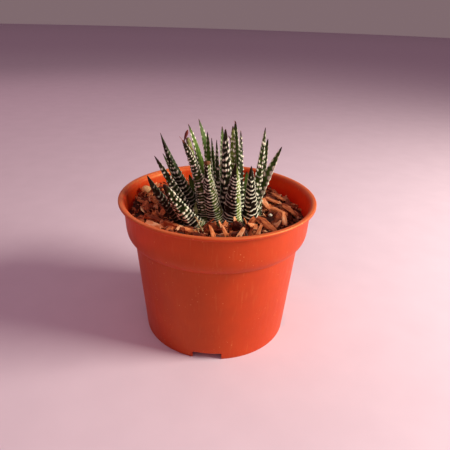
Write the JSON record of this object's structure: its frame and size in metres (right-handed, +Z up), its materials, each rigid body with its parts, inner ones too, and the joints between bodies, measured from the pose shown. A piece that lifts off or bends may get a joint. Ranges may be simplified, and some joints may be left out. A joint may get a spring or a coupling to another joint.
{
  "type": "potted haworthia",
  "caption": "Upright banded succulent in several clumps, bedded in bark chips in a flared plastic nursery pot that stands on its foot ring.",
  "frame": {"origin": "centre of the pot's foot, on the surface that it stands on", "axes": "+Z up from the surface to the leaf tips, +X to the right and +Y to the back as seen from the side where a drainage notch faces forward"},
  "size_m": [0.105, 0.105, 0.1173],
  "materials": {
    "pot_plastic": "satin moulded polypropylene, terracotta coloured",
    "mix": "dark fibrous potting mix, dry on top",
    "bark": "split bark and husk chips, rough, reddish brown to tan",
    "pebble_stone": "rounded, dull yellowish stone",
    "perlite": "rough, porous, off-white",
    "stem_tissue": "pale green, dull",
    "leaf_flesh": "satin, dark green with raised cream bands, brown-purple tips",
    "stalk_flesh": "satin pale green, brown at the cut",
    "bract_dry": "papery, dried dark red"
  },
  "bodies": {
    "root": {"pot": "pot_plastic", "potting_mix": "mix", "chip_cover": "bark", "pebble": "pebble_stone", "perlite_grain": "perlite", "stem_a": "stem_tissue", "stem_b": "stem_tissue", "stem_c": "stem_tissue", "stem_d": "stem_tissue", "leaf_a1": "leaf_flesh", "leaf_a2": "leaf_flesh", "leaf_a3": "leaf_flesh", "leaf_a4": "leaf_flesh", "leaf_a5": "leaf_flesh", "leaf_a6": "leaf_flesh", "leaf_b1": "leaf_flesh", "leaf_b2": "leaf_flesh", "leaf_b3": "leaf_flesh", "leaf_b4": "leaf_flesh", "leaf_b5": "leaf_flesh", "leaf_b6": "leaf_flesh", "leaf_b7": "leaf_flesh", "leaf_b8": "leaf_flesh", "leaf_c1": "leaf_flesh", "leaf_c2": "leaf_flesh", "leaf_c3": "leaf_flesh", "leaf_c4": "leaf_flesh", "leaf_c5": "leaf_flesh", "leaf_c6": "leaf_flesh", "leaf_c7": "leaf_flesh", "leaf_d1": "leaf_flesh", "leaf_d2": "leaf_flesh", "leaf_d3": "leaf_flesh", "leaf_d4": "leaf_flesh", "leaf_d5": "leaf_flesh", "flower_stalk": "stalk_flesh", "dry_bract": "bract_dry"}
  },
  "joints": []
}
